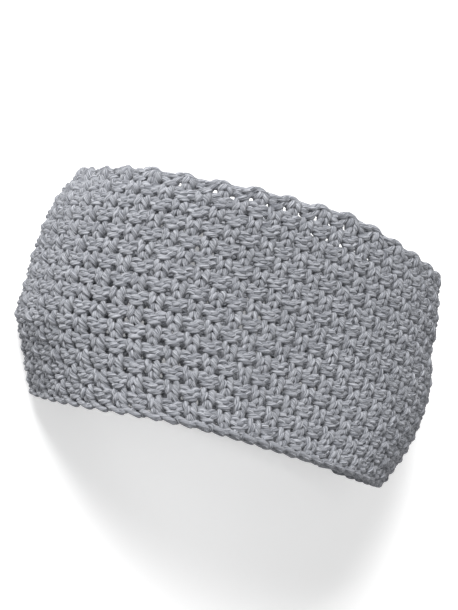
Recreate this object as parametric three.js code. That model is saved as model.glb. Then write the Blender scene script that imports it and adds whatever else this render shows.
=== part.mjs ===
// A knitted ear warmer headband: one closed loop of thick moss-stitch knitting, lying on
// its side. Millimetres, +Z up. The loop runs round the Y axis, its flattened side rests
// on z = 0, and its scalloped edge faces +Y. The origin is under the middle of the part.
import * as THREE from "three";

// Knitting
const STITCH_WIDTH = 8.0;      // one stitch, along a row
const WALL = 6.6;              // thickness of the fabric, two strands of yarn
const BAND_WIDTH = 103.3;      // from one long edge to the other, across the rows
const SCALLOP_STITCHES = 2;    // stitches in one bump of the +Y edge
const SCALLOP_HEIGHT = 1.6;    // how far a bump stands out of the hollows beside it

// The loop's section, at the middle of the wall and half way across the band
const LEFT_REACH = 77.5;       // from the top of the arch out to the -X end
const RIGHT_REACH = 116.1;     // from the top of the arch out to the +X end
const ARCH_RISE = 73.7;        // from the widest level up to the top of the arch
const BASE_DROP = 12.6;        // from the widest level down to the resting side
const REST_PRESS = 0.6;        // how much of the underside its weight presses flat
const LEAN = 3.1;              // how far the resting side lies to +Y of the top of the arch

// Squareness of the section's quarters: 2 is an ellipse, and a higher value is boxier
const LEFT_SQUARENESS = 2.2;
const RIGHT_SQUARENESS = 2.3;
const BASE_SQUARENESS = 4.0;

// Both edges are drawn in, and both ends sag towards -Y. Each row is one line across the
// band, at a share of its width, with the reaches and the rise there as shares of those
// above, and how far each end sags, as a share of the band's width.
const BARREL = [
  { across: 0.5, left: 0.928, right: 0.896, rise: 0.906, sag_left: 0.094, sag_right: 0.025 },
  { across: 0.0, left: 1.0, right: 1.0, rise: 1.0, sag_left: 0.092, sag_right: 0.121 },
  { across: -0.5, left: 0.775, right: 0.825, rise: 1.2, sag_left: 0.071, sag_right: 0.015 },
];
const SAG_POWER = 2.3;         // how late along the loop the sag sets in

// Dents and folds of the soft ends: which end, the middle line and half breadth as shares
// of the band's width, and the depth as a share of the wall, negative where it bulges.
const FOLDS = [
  { end: "left", across: -0.18, breadth: 0.09, depth: -0.45 },
  { end: "left", across: 0.25, breadth: 0.25, depth: 0.25 },
  { end: "left", across: 0.5, breadth: 0.12, depth: 0.7 },
  { end: "right", across: 0.2, breadth: 0.07, depth: 0.65 },
  { end: "right", across: -0.47, breadth: 0.06, depth: -0.25 },
  { end: "right", across: 0.5, breadth: 0.06, depth: -0.5 },
];
const FOLD_START = 0.6;        // share of an end's reach past which its folds set in

// Slow waves of the +Y edge: the middle and half breadth of each as shares of the loop,
// counted from the top of the arch towards +X, and its rise as a share of the band's width.
const WAVES = [
  { round: -0.08, breadth: 0.05, rise: -0.021 },
  { round: 0.07, breadth: 0.05, rise: 0.029 },
  { round: 0.22, breadth: 0.05, rise: -0.0145 },
];
const WAVE_FADE = 0.2;         // share of the band's width over which a wave dies out

// Facets
const SECTION_STEPS = 720;     // samples of the section, for its length
const STATIONS_PER_SCALLOP = 3;
const LINES_ACROSS = 15;       // lines of corners on each face of the band
const EDGE_LINES = 3;          // lines of corners round each long edge
const SLOPE_STEP = 1e-3;       // share of the loop or width used to find a slope

const COLOUR = 0x9fa3ad;
const ROUGHNESS = 0.95;

// A value of the barrel table at a line across the band, on a parabola through its rows
function barrel(column, across) {
  return BARREL.reduce((sum, row) => {
    const others = BARREL.filter((other) => other !== row);
    const weight = others.reduce((w, o) => (w * (across - o.across)) / (row.across - o.across), 1);
    return sum + weight * row[column];
  }, 0);
}

// A quarter of the section on the unit circle, made boxier by its squareness
function boxy(value, squareness) {
  return Math.sign(value) * Math.abs(value) ** (2 / squareness);
}

// The section from the top of the arch towards +X and all the way round, with the length
// up to each point as a share of the whole
function makeSection() {
  const points = [];
  let length = 0;
  for (let step = 0; step <= SECTION_STEPS; step += 1) {
    const angle = (2 * Math.PI * step) / SECTION_STEPS;
    const [along, up] = [Math.sin(angle), Math.cos(angle)];
    const [reach, side] = along < 0
      ? [LEFT_REACH, LEFT_SQUARENESS]
      : [RIGHT_REACH, RIGHT_SQUARENESS];
    const [height, squareness] = up < 0 ? [BASE_DROP, BASE_SQUARENESS] : [ARCH_RISE, side];
    const point = { x: reach * boxy(along, squareness), z: height * boxy(up, squareness) };
    const last = points[step - 1];
    length += last ? Math.hypot(point.x - last.x, point.z - last.z) : 0;
    points.push({ ...point, length });
  }
  return { points, length };
}

const SECTION = makeSection();

// The section's point at a share of the loop's length, counted from the top of the arch
function sectionAt(round) {
  const target = (round - Math.floor(round)) * SECTION.length;
  const next = Math.max(1, SECTION.points.findIndex((point) => point.length >= target));
  const [a, b] = [SECTION.points[next - 1], SECTION.points[next]];
  const share = (target - a.length) / (b.length - a.length);
  return { x: a.x + share * (b.x - a.x), z: a.z + share * (b.z - a.z) };
}

// How far the folds push an end inwards on a line across the band
function foldDepth(end, across) {
  return FOLDS.filter((fold) => fold.end === end).reduce(
    (sum, fold) => sum + WALL * fold.depth * Math.exp(-(((across - fold.across) / fold.breadth) ** 2)),
    0,
  );
}

// How far the slow waves move a point towards +Y
function waveRise(round, across) {
  const nearness = Math.max(0, 1 - (0.5 - across) / WAVE_FADE);
  const away = (wave) => round - wave.round - Math.round(round - wave.round);
  return nearness * WAVES.reduce(
    (sum, wave) => sum + BAND_WIDTH * wave.rise * Math.exp(-((away(wave) / wave.breadth) ** 2)),
    0,
  );
}

// The middle of the wall: round is a share of the loop, across one of the band's width
function middle(round, across) {
  const point = sectionAt(round);
  const end = point.x < 0 ? "left" : "right";
  const outness = Math.abs(point.x) / (point.x < 0 ? LEFT_REACH : RIGHT_REACH);
  const foldShare = Math.max(0, (outness - FOLD_START) / (1 - FOLD_START)) ** 2;
  const fold = Math.sign(point.x) * foldShare * foldDepth(end, across);
  const sag = BAND_WIDTH * barrel(`sag_${end}`, across) * outness ** SAG_POWER;
  const lift = Math.max(0, point.z + BASE_DROP - REST_PRESS);
  const lean = LEAN * (1 - lift / (ARCH_RISE + BASE_DROP - REST_PRESS));
  return new THREE.Vector3(
    point.x * barrel(end, across) - fold,
    BAND_WIDTH * across - sag + lean + waveRise(round, across),
    WALL / 2 + lift * barrel("rise", across),
  );
}

// The direction out of the fabric
function outward(round, across) {
  const slope = (du, dv) => middle(round + du, across + dv).sub(middle(round - du, across - dv));
  return slope(SLOPE_STEP, 0).cross(slope(0, SLOPE_STEP)).normalize();
}

// The outline of the band's thickness: across it, and out from the middle of the wall as
// a share of half its thickness, over the outer face, round one edge and back inside
function makeProfile() {
  const edgeShare = WALL / 2 / BAND_WIDTH;
  const flat = 0.5 - edgeShare;
  const profile = [];
  [1, -1].forEach((face) => {
    for (let line = 0; line < LINES_ACROSS; line += 1) {
      profile.push({ across: face * flat * ((2 * line) / (LINES_ACROSS - 1) - 1), out: face });
    }
    for (let line = 1; line <= EDGE_LINES; line += 1) {
      const angle = (Math.PI * line) / (EDGE_LINES + 1);
      const past = edgeShare * Math.sin(angle);
      profile.push({ across: face * (flat + past), out: face * Math.cos(angle) });
    }
  });
  return profile;
}

// The bumps of the +Y edge, which fade out one bump's width inside it
function scallop(round, across, count) {
  const fade = (SCALLOP_STITCHES * STITCH_WIDTH) / BAND_WIDTH;
  const nearness = Math.max(0, 1 - (0.5 - across) / fade);
  return (-SCALLOP_HEIGHT / 2) * nearness * (1 - Math.cos(2 * Math.PI * count * round));
}

function makeBandGeometry() {
  const bumps = Math.round(SECTION.length / (SCALLOP_STITCHES * STITCH_WIDTH));
  const stations = bumps * STATIONS_PER_SCALLOP;
  const profile = makeProfile();
  const positions = [];
  const triangles = [];
  for (let station = 0; station < stations; station += 1) {
    const round = station / stations;
    profile.forEach(({ across, out }, line) => {
      const point = middle(round, across);
      point.addScaledVector(outward(round, across), (out * WALL) / 2);
      point.y += scallop(round, across, bumps);
      positions.push(point.x, point.y, point.z);
      const [here, next] = [station, (station + 1) % stations].map((s) => s * profile.length);
      const beside = (line + 1) % profile.length;
      triangles.push(here + line, next + line, next + beside);
      triangles.push(here + line, next + beside, here + beside);
    });
  }
  const geometry = new THREE.BufferGeometry();
  geometry.setAttribute("position", new THREE.Float32BufferAttribute(positions, 3));
  geometry.setIndex(triangles);
  geometry.computeVertexNormals();
  geometry.computeBoundingBox();
  return geometry;
}

function makeBand() {
  const material = new THREE.MeshStandardMaterial({ color: COLOUR, roughness: ROUGHNESS, metalness: 0 });
  const band = new THREE.Mesh(makeBandGeometry(), material);
  band.name = "knit_band";
  const centre = band.geometry.boundingBox.getCenter(new THREE.Vector3());
  band.position.set(-centre.x, -centre.y, 0);
  return band;
}

const headband = new THREE.Group();
headband.add(makeBand());

export default headband;
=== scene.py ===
"""A knitted ear warmer headband, lying on its side: loops of yarn on the CAD band's surface."""
import math

import bpy
import numpy as np
from mathutils import Matrix, Vector


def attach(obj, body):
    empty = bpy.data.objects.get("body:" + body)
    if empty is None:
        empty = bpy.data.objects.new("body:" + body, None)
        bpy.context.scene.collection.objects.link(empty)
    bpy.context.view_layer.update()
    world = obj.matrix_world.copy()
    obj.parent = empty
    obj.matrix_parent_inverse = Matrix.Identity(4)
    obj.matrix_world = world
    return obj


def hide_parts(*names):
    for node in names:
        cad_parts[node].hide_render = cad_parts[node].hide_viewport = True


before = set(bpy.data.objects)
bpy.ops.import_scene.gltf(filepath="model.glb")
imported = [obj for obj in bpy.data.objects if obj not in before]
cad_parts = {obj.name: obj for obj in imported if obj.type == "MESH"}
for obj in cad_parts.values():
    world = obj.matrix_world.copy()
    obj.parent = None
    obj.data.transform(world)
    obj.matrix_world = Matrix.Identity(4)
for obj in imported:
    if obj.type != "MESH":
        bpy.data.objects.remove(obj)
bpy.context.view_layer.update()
BAND = "knit_band"
MM = 0.001

# The band's surface, in millimetres, as in the part's source
WALL = 6.6
BAND_WIDTH = 103.3
SCALLOP_STITCHES, SCALLOP_HEIGHT = 2, 1.6
LEFT_REACH, RIGHT_REACH = 77.5, 116.1
ARCH_RISE, BASE_DROP, REST_PRESS, LEAN = 73.7, 12.6, 0.6, 3.1
LEFT_SQUARENESS, RIGHT_SQUARENESS, BASE_SQUARENESS = 2.2, 2.3, 4.0
BARREL_LINES = (0.5, 0.0, -0.5)
BARREL = {
    "left": (0.928, 1.0, 0.775),
    "right": (0.896, 1.0, 0.825),
    "rise": (0.906, 1.0, 1.2),
    "sag_left": (0.094, 0.092, 0.071),
    "sag_right": (0.025, 0.121, 0.015),
}
SAG_POWER = 2.3
FOLDS = (  # end, across, breadth, depth
    ("left", -0.18, 0.09, -0.45),
    ("left", 0.25, 0.25, 0.25),
    ("left", 0.5, 0.12, 0.7),
    ("right", 0.2, 0.07, 0.65),
    ("right", -0.47, 0.06, -0.25),
    ("right", 0.5, 0.06, -0.5),
)
FOLD_START = 0.6
WAVES = (  # round, breadth, rise
    (-0.08, 0.05, -0.021),
    (0.07, 0.05, 0.029),
    (0.22, 0.05, -0.0145),
)
WAVE_FADE = 0.2
SECTION_STEPS = 720
SLOPE_STEP = 1e-3
OFFSET_SAMPLES = (361, 121)  # round the loop and across it, to find the part's box

# The knitting, in millimetres
STITCHES = 60  # round the loop
COURSES = 30  # rows of knitting between the cast-on and the bound-off edge
COURSE_HEIGHT = 3.358
FIRST_COURSE_DROP = 0.8  # from the top edge to where course 0 starts
APEX_STITCH = 8.216  # stitch under the top of the arch
YARN = 2.45  # diameter
SIDES = 8
STEPS = 24  # points of yarn in one stitch
COURSES_A_PIECE = 6
SEED = 11
UNEVEN_STITCH, UNEVEN_COURSE, UNEVEN_OUT = 0.05, 0.07, 0.22  # in stitches, courses, millimetres
UNEVEN_YARN = 0.05  # share of its thickness
FIRM_EDGE, FIRM_COURSES = 0.25, 6.0  # how much thicker the yarn is at the cast-on, and how far in

# Half a stitch before it relaxes, from the foot at its column's edge to the head at its middle:
# where the yarn is across the column, for each kind of loop, at shares of the loop's length
LOOP_AT = (0.0, 0.09, 0.2, 0.33, 0.42, 0.5)
KNIT_UNDER_KNIT = (0.0, 0.26, 0.34, 0.3, 0.3, 0.5)
KNIT_UNDER_PURL = (0.0, 0.26, 0.34, 0.3, 0.24, 0.5)
PURL = (0.0, 0.3, 0.34, 0.25, 0.2, 0.5)
FEET = (0.15, -0.25)  # of a pair's first and second course, from its own line, in courses
HEADS = (1.4, 1.8)
DEPTH_AT = (0.0, 0.09, 0.2, 0.33, 0.5)  # where the depths below are reached
FOOT_DEPTH, LEG_DEPTH = 1.1, 1.4  # out of the middle of the fabric, in millimetres
HOLE_LINE = 1.45  # where the holes between the cells lie, in courses
HOLE_RADIUS = 1.5
LAST_HEADS, LAST_SQUEEZE = 29.6, 0.5  # heads past this line are drawn together by this share

# How the stitches settle, in millimetres where it is a length
SETTLE_ROUNDS = 90
THREAD, CONTACT = 0.5, 2.0  # thickness at the first round, and once it has grown
GROWTH = 0.6  # share of the rounds in which it grows
STIFFNESS, SPRING, PRESS = 0.3, 0.225, 0.5
SPRING_PASSES = 3
CROWDING = 0.6  # how much less a point gives way where it touches many
NEAR_ALONG = 1.6  # stretches of one yarn nearer than this many thicknesses don't press
ANCHOR = 0.25  # pull back to the drawn stitch
LONGEST_STEP = 0.08

# Both long edges, in millimetres, and in stitches along the edge
CAST_ON_DROP, CAST_ON_SWING, CAST_ON_DEPTH = 1.7, 0.8, 1.5
CAST_ON_STEPS = 16  # points in one stitch
CHAIN_DROP, CHAIN_SWING, CHAIN_DEPTH = 1.7, 1.2, 1.6  # the drop is up from the lower edge
CHAIN_REACH, CHAIN_SLANT = 0.5, 0.5  # half a link's length, and radians
CHAIN_YARN, CHAIN_STEPS = 0.9, 24  # share of the yarn's thickness, and points in one link

# The yarn's material: lengths in metres, colours linear
TWIST_LENGTH, PLIES = 0.014, 4.0
STREAK_SCALE, STREAK_ALONG = 4.5, 60.0  # of the noise, and how it is set along a metre of yarn
PLY_HEIGHT = 0.25  # of the plies' waves, against the streaks'
BUMP_STRENGTH, BUMP_DEPTH = 0.9, 0.0008
COURSE_START = 0.37  # how far along its pattern each course starts after the last
DARK_FIBRE, PALE_FIBRE = (0.09, 0.095, 0.11, 1), (0.38, 0.39, 0.42, 1)
DARK_UNTIL, PALE_FROM = 0.38, 0.62

FLOOR_SIZE, FLOOR_COLOUR, FLOOR_GLOW = 6.0, (0.9, 0.9, 0.9, 1), 0.3
WORLD_LIGHT = 0.14
LIGHTS = (  # name, place, size in metres, power in watts
    ("key_light", (-0.6, 0.7, 0.85), 0.55, 26.5),
    ("fill_light", (-0.2, -0.2, 1.2), 0.9, 5.0),
    ("side_light", (1.1, -0.3, 0.3), 0.6, 3.5),
)

# The photograph's frame and how the camera stands in it
IMAGE_W, IMAGE_H = 458, 610
FOCAL_PX = 1494.0
CENTRE_PX = (210.5, 317.5)
CAMERA_DISTANCE = 657.8
CAMERA_AIM = (0.0, -2.4, 35.0)  # on the surface's own origin, under the top of the arch
CAMERA_TURN, CAMERA_TILT, CAMERA_ROLL = (math.radians(a) for a in (23.05, 5.12, 16.5))
SENSOR = 36.0


def barrel(column, across):
    """A value of the barrel table at lines across the band, on a parabola through its rows."""
    total = 0.0
    for i, line in enumerate(BARREL_LINES):
        weight = 1.0
        for other in BARREL_LINES:
            if other != line:
                weight = weight * (across - other) / (line - other)
        total = total + weight * BARREL[column][i]
    return total


def boxy(value, squareness):
    return np.sign(value) * np.abs(value) ** (2 / squareness)


def make_section():
    """The loop's section from the top of the arch towards +X, and the length up to each point."""
    angle = np.linspace(0, 2 * np.pi, SECTION_STEPS + 1)
    along, up = np.sin(angle), np.cos(angle)
    side = np.where(along < 0, LEFT_SQUARENESS, RIGHT_SQUARENESS)
    squareness = np.where(up < 0, BASE_SQUARENESS, side)
    x = np.where(along < 0, LEFT_REACH, RIGHT_REACH) * boxy(along, squareness)
    z = np.where(up < 0, BASE_DROP, ARCH_RISE) * boxy(up, squareness)
    length = np.concatenate([[0], np.cumsum(np.hypot(np.diff(x), np.diff(z)))])
    return x, z, length


SECTION_X, SECTION_Z, SECTION_AT = make_section()
LOOP_LENGTH = SECTION_AT[-1]


def wave_rise(around, across):
    """How far the slow waves of the upper edge move a point towards +Y."""
    total = np.zeros_like(around)
    for place, breadth, rise in WAVES:
        away = (around - place + 0.5) % 1.0 - 0.5
        total += BAND_WIDTH * rise * np.exp(-((away / breadth) ** 2))
    return total * np.clip(1 - (0.5 - across) / WAVE_FADE, 0, None)


def scallop(around, across):
    """The bumps of the upper edge, which fade out one bump's width inside it."""
    fade = SCALLOP_STITCHES * LOOP_LENGTH / STITCHES / BAND_WIDTH
    nearness = np.clip(1 - (0.5 - across) / fade, 0, None)
    bumps = STITCHES / SCALLOP_STITCHES
    return -SCALLOP_HEIGHT / 2 * nearness * (1 - np.cos(2 * np.pi * bumps * around))


def middle(around, across):
    """The middle of the wall, in millimetres, at shares of the loop's length and the width."""
    at = (around % 1.0) * LOOP_LENGTH
    x, z = np.interp(at, SECTION_AT, SECTION_X), np.interp(at, SECTION_AT, SECTION_Z)
    left = x < 0
    outness = np.abs(x) / np.where(left, LEFT_REACH, RIGHT_REACH)
    fold_share = np.clip((outness - FOLD_START) / (1 - FOLD_START), 0, None) ** 2
    folds = np.zeros_like(x)
    for end, line, breadth, depth in FOLDS:
        here = WALL * depth * np.exp(-(((across - line) / breadth) ** 2))
        folds += np.where(left == (end == "left"), here, 0)
    sag = np.where(left, barrel("sag_left", across), barrel("sag_right", across))
    spread = np.where(left, barrel("left", across), barrel("right", across))
    lift = np.clip(z + BASE_DROP - REST_PRESS, 0, None)
    lean = LEAN * (1 - lift / (ARCH_RISE + BASE_DROP - REST_PRESS))
    return np.stack(
        [
            x * spread - np.sign(x) * fold_share * folds,
            BAND_WIDTH * (across - sag * outness**SAG_POWER) + lean + wave_rise(around, across),
            WALL / 2 + lift * barrel("rise", across),
        ],
        axis=-1,
    )


def outward(around, across):
    """The direction out of the fabric."""
    along = middle(around + SLOPE_STEP, across) - middle(around - SLOPE_STEP, across)
    over = middle(around, across + SLOPE_STEP) - middle(around, across - SLOPE_STEP)
    normal = np.cross(along, over)
    return normal / np.linalg.norm(normal, axis=-1, keepdims=True)


def part_offset():
    """What moves the surface's own origin to the part's, which is under the middle of its box."""
    around, across = np.meshgrid(
        np.linspace(0, 1, OFFSET_SAMPLES[0]), np.linspace(-0.5, 0.5, OFFSET_SAMPLES[1])
    )
    edge = WALL / 2 / BAND_WIDTH
    past = np.clip((np.abs(across) - 0.5 + edge) / edge, 0, 1)
    out = WALL / 2 * np.sqrt(1 - past**2)
    shell = middle(around, across) + outward(around, across) * out[..., None]
    shell[..., 1] += scallop(around, across)
    centre = (shell.reshape(-1, 3).min(0) + shell.reshape(-1, 3).max(0)) / 2
    return np.array([-centre[0], -centre[1], 0.0])


OFFSET = part_offset()


def on_band(stitch, drop, out):
    """Points of the knitting, in metres: stitch counts round the loop, drop from the top edge."""
    around = (stitch - APEX_STITCH) / STITCHES
    across = 0.5 - drop / BAND_WIDTH
    points = middle(around, across) + outward(around, across) * out[..., None] + OFFSET
    points[..., 1] += scallop(around, across)
    return points * MM


def is_knit(course, column):
    """Moss stitch: each cell is one stitch wide and two courses high, knit and purl by turns."""
    return 1.0 if (column + course // 2) % 2 == 0 else -1.0


def mirrored(half):
    """Values from a column's edge to its middle, and on to its other edge."""
    return [*half, *(1 - value for value in half[-2::-1])]


def start_cell():
    """The yarn of two stitches in four courses, which then repeats, before it relaxes."""
    t = np.arange(STEPS) / STEPS
    keys = np.array(mirrored(DEPTH_AT))
    width = LOOP_LENGTH / STITCHES
    cell = np.zeros((4, 2 * STEPS, 3))
    for course in range(4):
        foot = (course + FEET[course % 2]) * COURSE_HEIGHT
        head = (course + HEADS[course % 2]) * COURSE_HEIGHT
        for column in range(2):
            own, above = is_knit(course, column), is_knit(course + 1, column)
            beside = is_knit(course, column + 1)
            foot_out = -FOOT_DEPTH * own
            sinker = (foot_out - FOOT_DEPTH * beside) / 2
            shoulder, leg = FOOT_DEPTH * above, LEG_DEPTH * own
            out = np.array([
                sinker, foot_out, leg, shoulder, -LEG_DEPTH * above,
                shoulder, leg, foot_out, sinker,
            ])
            i = np.clip(np.searchsorted(keys, t, side="right") - 1, 0, len(keys) - 2)
            share = (t - keys[i]) / (keys[i + 1] - keys[i])
            share = (1 - np.cos(np.pi * share)) / 2
            part = cell[course, column * STEPS : (column + 1) * STEPS]
            kind = PURL if own < 0 else KNIT_UNDER_KNIT if above > 0 else KNIT_UNDER_PURL
            part[:, 0] = (column + np.interp(t, mirrored(LOOP_AT), mirrored(kind))) * width
            part[:, 1] = foot + (head - foot) / 2 * (1 - np.cos(2 * np.pi * t))
            part[:, 2] = out[i] * (1 - share) + out[i + 1] * share
    period = np.array([2 * width, 0, 0])
    ahead = np.concatenate([cell[:, 1:], cell[:, :1] + period], 1)
    behind = np.concatenate([cell[:, -1:] - period, cell[:, :-1]], 1)
    return (2 * cell + ahead + behind) / 4


def relax_cell(cell):
    """Settles the loops: the yarn thickens from a thread, and strands that meet push apart."""
    start = cell.copy()
    courses, count, _ = cell.shape
    wide, high = 2 * LOOP_LENGTH / STITCHES, courses * COURSE_HEIGHT
    period = np.array([wide, 0, 0])
    repeat = np.array([wide, high, 1e9])

    def ahead(p):
        return np.concatenate([p[:, 1:], p[:, :1] + period], 1)

    def behind(p):
        return np.concatenate([p[:, -1:] - period, p[:, :-1]], 1)

    piece = np.linalg.norm(ahead(cell) - cell, axis=2).mean()
    course_of = np.repeat(np.arange(courses), count)
    place = np.tile(np.arange(count), courses)
    apart = np.abs(place[:, None] - place[None, :])
    apart = np.minimum(apart, count - apart)
    same = course_of[:, None] == course_of[None, :]
    holes = [
        (x * wide / 2, (HOLE_LINE + 2 * k) * COURSE_HEIGHT) for x in (0, 1) for k in (0, 1)
    ]
    for step in range(SETTLE_ROUNDS):
        share = min(1, step / (GROWTH * SETTLE_ROUNDS))
        size = THREAD + (CONTACT - THREAD) * share
        before = cell.copy()
        bend = (behind(cell) + ahead(cell)) / 2 - cell
        bend = (np.roll(bend, 1, 1) + np.roll(bend, -1, 1)) / 2 - bend
        cell = cell - STIFFNESS * bend
        for _ in range(SPRING_PASSES):
            gap = ahead(cell) - cell
            long = np.linalg.norm(gap, axis=2, keepdims=True)
            pull = SPRING * (long - piece) / long * gap
            cell = cell + pull - np.roll(pull, 1, 1)
        flat = cell.reshape(-1, 3)
        gap = flat[:, None, :] - flat[None, :, :]
        gap = gap - repeat * np.round(gap / repeat)
        far = np.linalg.norm(gap, axis=2) + 1e-9
        near = same & (apart * piece < NEAR_ALONG * size)
        press = np.where(near, 0, np.clip(size - far, 0, None))
        touching = np.maximum((press > 0).sum(1), 1)[:, None]
        flat = flat + PRESS * ((press / far)[:, :, None] * gap).sum(1) / touching**CROWDING
        for hole in holes:
            gap = flat[:, :2] - hole
            gap = gap - repeat[:2] * np.round(gap / repeat[:2])
            far = np.linalg.norm(gap, axis=1) + 1e-9
            inside = np.clip((HOLE_RADIUS + size / 2) * share - far, 0, None)
            flat[:, :2] += PRESS * (inside / far)[:, None] * gap
        cell = flat.reshape(courses, count, 3)
        cell = cell + ANCHOR * (start - cell)
        moved = cell - before
        far = np.linalg.norm(moved, axis=2, keepdims=True)
        cell = before + moved * np.minimum(1, LONGEST_STEP / np.maximum(far, 1e-9))
    return cell


def smooth_noise(rng, stitch, course, columns=STITCHES, rows=COURSES + 4):
    """Even random values on a grid of stitches and courses, joined smoothly and round the loop."""
    grid = rng.uniform(-1, 1, (rows, columns))
    x, y = stitch % columns, np.clip(course + 1, 0, rows - 1.001)
    i, j = np.floor(x).astype(int), np.floor(y).astype(int)
    u, v = x - i, y - j
    u, v = u * u * (3 - 2 * u), v * v * (3 - 2 * v)
    i, i2 = i % columns, (i + 1) % columns
    near = grid[j, i] * (1 - u) + grid[j, i2] * u
    far = grid[j + 1, i] * (1 - u) + grid[j + 1, i2] * u
    return near * (1 - v) + far * v


class Tubes:
    """Gathers closed loops of yarn and makes one mesh of them."""

    def __init__(self):
        self.points, self.faces, self.uvs, self.count = [], [], [], 0

    def add(self, line, radius, start=0.0):
        """line is the yarn's centre, in metres, and radius its half thickness at each point."""
        ahead, behind = np.roll(line, -1, 0), np.roll(line, 1, 0)
        run = ahead - behind
        run /= np.linalg.norm(run, axis=1, keepdims=True)
        side = np.zeros_like(line)
        side[0] = np.cross(run[0], (0.3, 0.5, 0.8))
        side[0] /= np.linalg.norm(side[0])
        for k in range(1, len(line)):
            side[k] = side[k - 1] - run[k] * np.dot(side[k - 1], run[k])
            side[k] /= np.linalg.norm(side[k])
        other = np.cross(run, side)
        step = np.linalg.norm(np.diff(line, axis=0), axis=1)
        along = np.concatenate([[0], np.cumsum(step)])
        total = along[-1] + np.linalg.norm(line[0] - line[-1])
        last = side[-1] - run[0] * np.dot(side[-1], run[0])
        turn = math.atan2(np.dot(last, other[0]), np.dot(last, side[0]))
        twist = -turn * along / total
        angle = 2 * np.pi * np.arange(SIDES)[None, :] / SIDES + twist[:, None]
        ring = (
            np.cos(angle)[..., None] * side[:, None, :]
            + np.sin(angle)[..., None] * other[:, None, :]
        )
        count = len(line)
        self.points.append((line[:, None, :] + ring * radius[:, None, None]).reshape(-1, 3))
        i = np.arange(count)[:, None]
        j = np.arange(SIDES)[None, :]
        nxt, beside = (i + 1) % count, (j + 1) % SIDES
        quads = np.stack(
            [i * SIDES + j, i * SIDES + beside, nxt * SIDES + beside, nxt * SIDES + j], -1
        )
        self.faces.append(quads.reshape(-1, 4) + self.count)
        ends = np.append(along, total)
        u = np.broadcast_to(ends[i] + start, (count, SIDES))
        u2 = np.broadcast_to(ends[i + 1] + start, (count, SIDES))
        v = np.broadcast_to(j / SIDES, (count, SIDES))
        v2 = v + 1 / SIDES
        self.uvs.append(
            np.stack([np.stack([u, v], -1), np.stack([u, v2], -1),
                      np.stack([u2, v2], -1), np.stack([u2, v], -1)], 2).reshape(-1, 2)
        )
        self.count += count * SIDES

    def build(self, name, material):
        """Makes the mesh, in place of the plain band."""
        mesh = bpy.data.meshes.new(name)
        points, faces = np.concatenate(self.points), np.concatenate(self.faces)
        mesh.vertices.add(len(points))
        mesh.vertices.foreach_set("co", points.ravel())
        mesh.loops.add(faces.size)
        mesh.loops.foreach_set("vertex_index", faces.ravel())
        mesh.polygons.add(len(faces))
        mesh.polygons.foreach_set("loop_start", np.arange(len(faces)) * 4)
        mesh.polygons.foreach_set("loop_total", np.full(len(faces), 4))
        mesh.uv_layers.new(name="yarn")
        mesh.uv_layers["yarn"].data.foreach_set("uv", np.concatenate(self.uvs).ravel())
        mesh.update(calc_edges=True)
        mesh.validate()
        mesh.polygons.foreach_set("use_smooth", np.ones(len(faces), bool))
        mesh.materials.append(material)
        piece = bpy.data.objects.new(name, mesh)
        bpy.context.scene.collection.objects.link(piece)
        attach(piece, "root")
        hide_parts(BAND)


def yarn_material():
    """Matte plied yarn: twisted plies and fine fibres along them, a little lighter and darker."""
    material = bpy.data.materials.new("grey_knit")
    material.use_nodes = True
    nodes, links = material.node_tree.nodes, material.node_tree.links
    shader = nodes["Principled BSDF"]
    shader.inputs["Roughness"].default_value = 0.85
    shader.inputs["Specular IOR Level"].default_value = 0.25
    shader.inputs["Sheen Weight"].default_value = 0.1
    shader.inputs["Sheen Roughness"].default_value = 0.5

    def node(kind, **values):
        made = nodes.new(kind)
        for key, value in values.items():
            setattr(made, key, value)
        return made

    def maths(operation, first, second=0.0):
        made = node("ShaderNodeMath", operation=operation)
        for socket, value in zip(made.inputs, (first, second)):
            if isinstance(value, (int, float)):
                socket.default_value = value
            else:
                links.new(value, socket)
        return made.outputs[0]

    uv = node("ShaderNodeUVMap", uv_map="yarn")
    split = node("ShaderNodeSeparateXYZ")
    links.new(uv.outputs["UV"], split.inputs[0])
    along, around = split.outputs["X"], split.outputs["Y"]
    twist = maths("MULTIPLY", along, 1 / TWIST_LENGTH)
    turn = maths("MULTIPLY", maths("ADD", around, twist), 2 * math.pi)
    fibre = node("ShaderNodeCombineXYZ")
    links.new(maths("COSINE", turn), fibre.inputs[0])
    links.new(maths("SINE", turn), fibre.inputs[1])
    links.new(maths("MULTIPLY", along, STREAK_ALONG), fibre.inputs[2])
    streaks = node("ShaderNodeTexNoise")
    streaks.inputs["Scale"].default_value = STREAK_SCALE
    streaks.inputs["Detail"].default_value = 4.0
    links.new(fibre.outputs[0], streaks.inputs["Vector"])
    plies = maths("COSINE", maths("MULTIPLY", turn, PLIES))
    height = maths("ADD", maths("MULTIPLY", plies, PLY_HEIGHT), streaks.outputs["Fac"])
    bump = node("ShaderNodeBump")
    bump.inputs["Strength"].default_value = BUMP_STRENGTH
    bump.inputs["Distance"].default_value = BUMP_DEPTH
    links.new(height, bump.inputs["Height"])
    links.new(bump.outputs[0], shader.inputs["Normal"])
    ramp = node("ShaderNodeValToRGB")
    dark, pale = ramp.color_ramp.elements
    dark.position, dark.color = DARK_UNTIL, DARK_FIBRE
    pale.position, pale.color = PALE_FROM, PALE_FIBRE
    links.new(streaks.outputs["Fac"], ramp.inputs[0])
    links.new(ramp.outputs[0], shader.inputs["Base Color"])
    return material


def distort(stitch, course, out, noises):
    """Makes the knitting uneven, the same for strands that touch."""
    dx, dy, dz = noises
    return (
        stitch + UNEVEN_STITCH * dx(stitch, course),
        course + UNEVEN_COURSE * dy(stitch, course),
        out + UNEVEN_OUT * dz(stitch, course),
    )


def make_noises():
    rng = np.random.default_rng(SEED)
    seeds = rng.integers(0, 10**6, 3)
    return [
        lambda s, c, seed=seed: smooth_noise(np.random.default_rng(seed), s, c) for seed in seeds
    ]


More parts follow.
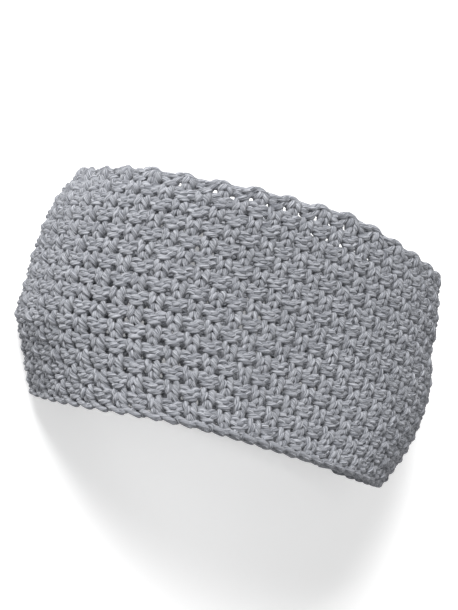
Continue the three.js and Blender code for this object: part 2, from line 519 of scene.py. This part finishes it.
def knit_courses(material):
    """All the courses, a few to a piece, each one yarn that runs once round the loop."""
    width = LOOP_LENGTH / STITCHES
    cell = relax_cell(start_cell())
    noises = make_noises()
    rng = np.random.default_rng(SEED + 1)
    for first in range(0, COURSES, COURSES_A_PIECE):
        tubes = Tubes()
        for course in range(first, min(first + COURSES_A_PIECE, COURSES)):
            shape = cell[course % 4]
            repeats = STITCHES // 2
            stitch = np.concatenate([shape[:, 0] / width + 2 * k for k in range(repeats)])
            up = np.tile(shape[:, 1] / COURSE_HEIGHT + 4 * (course // 4), repeats)
            out = np.tile(shape[:, 2], repeats)
            up = np.where(up > LAST_HEADS, LAST_HEADS + (up - LAST_HEADS) * LAST_SQUEEZE, up)
            stitch, up, out = distort(stitch, up, out, noises)
            line = on_band(stitch, up * COURSE_HEIGHT + FIRST_COURSE_DROP, out)
            thick = 1 + UNEVEN_YARN * smooth_noise(rng, stitch, up)
            thick = thick + FIRM_EDGE * np.clip(1 - up / FIRM_COURSES, 0, 1)
            tubes.add(line, YARN / 2 * MM * thick, start=COURSE_START * course)
        tubes.build(f"knit_courses_{first:02d}", material)


def cast_on_edge(material):
    """Two strands twisted about each other over the first course's feet, a turn in two stitches."""
    tubes = Tubes()
    t = np.linspace(0, STITCHES, STITCHES * CAST_ON_STEPS, endpoint=False)
    for sign in (1, -1):
        drop = CAST_ON_DROP - sign * CAST_ON_SWING * np.cos(np.pi * t)
        out = sign * CAST_ON_DEPTH * np.sin(np.pi * t)
        tubes.add(on_band(t, drop, out), np.full(len(t), YARN / 2 * MM))
    tubes.build("cast_on_edge", material)


def bound_off_edge(material):
    """A chain of long loops along the lower edge, one for each stitch."""
    tubes = Tubes()
    t = np.linspace(0, 2 * np.pi, CHAIN_STEPS, endpoint=False)
    for stitch in range(STITCHES):
        along = stitch + CHAIN_REACH * np.cos(t)
        out = CHAIN_DEPTH * np.sin(t + CHAIN_SLANT)
        drop = BAND_WIDTH - CHAIN_DROP + CHAIN_SWING * np.cos(t)
        tubes.add(on_band(along, drop, out), np.full(len(t), YARN / 2 * CHAIN_YARN * MM))
    tubes.build("bound_off_edge", material)


def make_floor():
    bpy.ops.mesh.primitive_plane_add(size=FLOOR_SIZE, location=(0, 0, 0))
    floor = bpy.context.object
    floor.name = "floor"
    material = bpy.data.materials.new("floor")
    material.use_nodes = True
    shader = material.node_tree.nodes["Principled BSDF"]
    shader.inputs["Base Color"].default_value = FLOOR_COLOUR
    shader.inputs["Roughness"].default_value = 0.9
    shader.inputs["Emission Color"].default_value = (1, 1, 1, 1)
    shader.inputs["Emission Strength"].default_value = FLOOR_GLOW
    floor.data.materials.append(material)


def make_lights():
    world = bpy.data.worlds.new("studio")
    world.use_nodes = True
    world.node_tree.nodes["Background"].inputs["Color"].default_value = (1, 1, 1, 1)
    world.node_tree.nodes["Background"].inputs["Strength"].default_value = WORLD_LIGHT
    bpy.context.scene.world = world
    for name, place, size, power in LIGHTS:
        data = bpy.data.lights.new(name, "AREA")
        data.size, data.energy = size, power
        light = bpy.data.objects.new(name, data)
        light.location = place
        light.rotation_euler = (-Vector(place)).to_track_quat("-Z", "Y").to_euler()
        bpy.context.scene.collection.objects.link(light)


def make_camera():
    """The camera at the photograph's angle, from its turn, tilt and roll about the band."""
    turn, tilt, roll = CAMERA_TURN, CAMERA_TILT, CAMERA_ROLL
    right = Vector((math.cos(turn), 0, math.sin(turn)))
    level, across = Vector((-math.sin(turn), 0, math.cos(turn))), Vector((0, 1, 0))
    up = across * math.cos(tilt) + level * math.sin(tilt)
    back = level * math.cos(tilt) - across * math.sin(tilt)
    rolled_right = right * math.cos(roll) + up * math.sin(roll)
    rolled_up = up * math.cos(roll) - right * math.sin(roll)
    place = (Vector(CAMERA_AIM) + Vector(OFFSET) + back * CAMERA_DISTANCE) * MM
    data = bpy.data.cameras.new("camera")
    data.sensor_width = SENSOR
    data.lens = FOCAL_PX * SENSOR / IMAGE_H
    data.shift_x = (IMAGE_W / 2 - CENTRE_PX[0]) / IMAGE_H
    data.shift_y = (CENTRE_PX[1] - IMAGE_H / 2) / IMAGE_H
    camera = bpy.data.objects.new("camera", data)
    axes = Matrix((rolled_right, rolled_up, back)).transposed()
    camera.matrix_world = Matrix.Translation(place) @ axes.to_4x4()
    bpy.context.scene.collection.objects.link(camera)
    bpy.context.scene.camera = camera


make_camera()
make_floor()
make_lights()
GREY_KNIT = yarn_material()
knit_courses(GREY_KNIT)
cast_on_edge(GREY_KNIT)
bound_off_edge(GREY_KNIT)
bpy.context.scene.view_settings.view_transform = "Standard"
